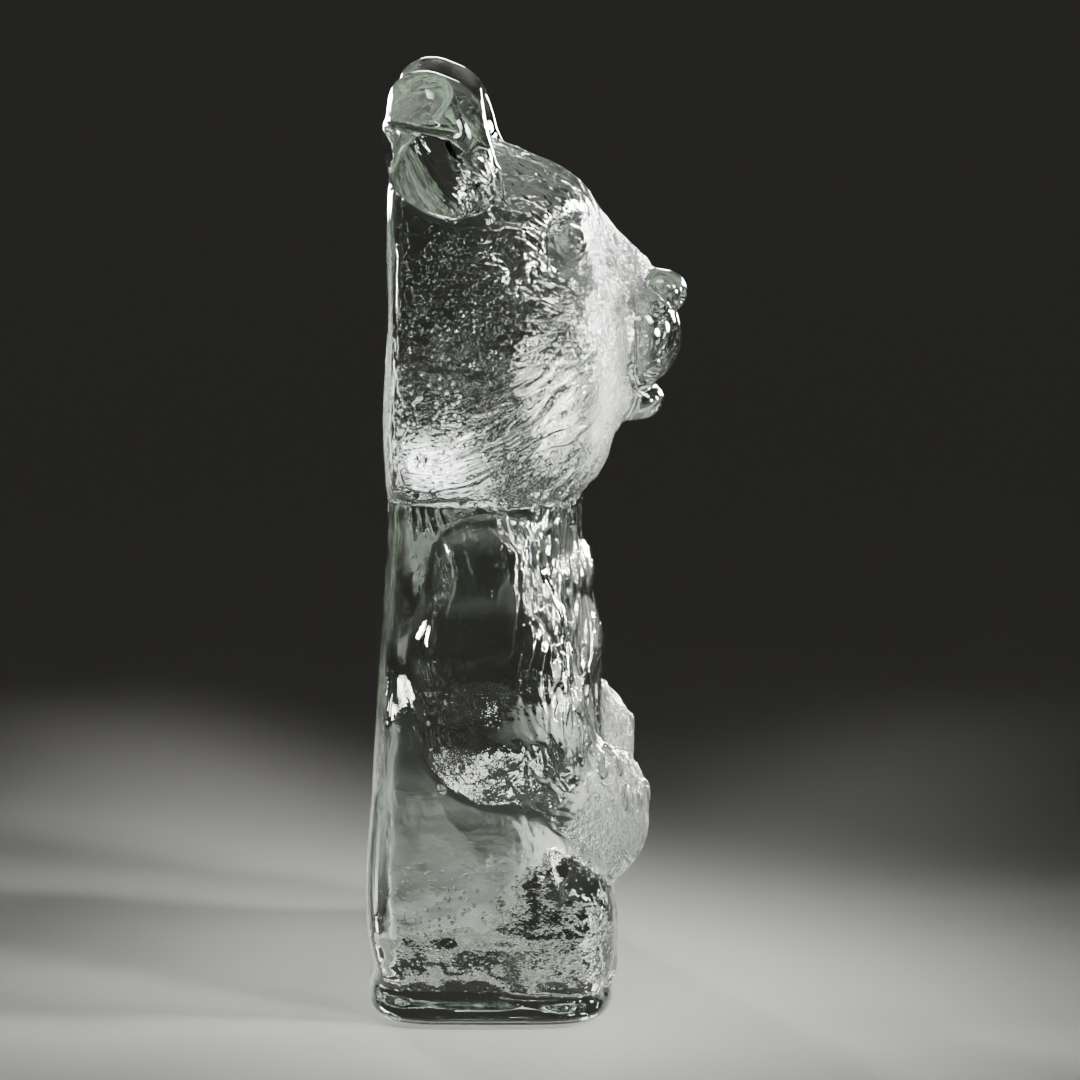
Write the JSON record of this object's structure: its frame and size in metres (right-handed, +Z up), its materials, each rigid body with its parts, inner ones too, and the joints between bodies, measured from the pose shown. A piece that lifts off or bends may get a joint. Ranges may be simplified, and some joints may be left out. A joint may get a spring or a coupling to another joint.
{
  "type": "crystal glass figurine",
  "caption": "Solid pressed-glass bear figurine, seated upright, with fur relief on front and sides, a flat polished back and a flat foot.",
  "frame": {"origin": "centre of the bounding box in plan, on the surface the figurine stands on", "axes": "+Z up; the bear faces -Y, its flat back faces +Y; its right side is -X"},
  "size_m": [0.0778, 0.0521, 0.1499],
  "materials": {
    "textured_glass": "clear cast glass with pressed fur relief, fire polished, faint grey-green tint",
    "polished_glass": "smooth clear glass, fire polished, faint grey-green tint"
  },
  "bodies": {
    "root": {"base": "polished_glass", "torso": "textured_glass", "leg_right": "textured_glass", "leg_left": "textured_glass", "arm_right": "textured_glass", "arm_left": "textured_glass", "paw_right": "textured_glass", "paw_left": "textured_glass", "head": "textured_glass", "ear_right": "polished_glass", "ear_left": "polished_glass", "muzzle": "polished_glass", "nose": "polished_glass", "lower_lip": "polished_glass", "eye_right": "polished_glass", "eye_left": "polished_glass"}
  },
  "joints": []
}
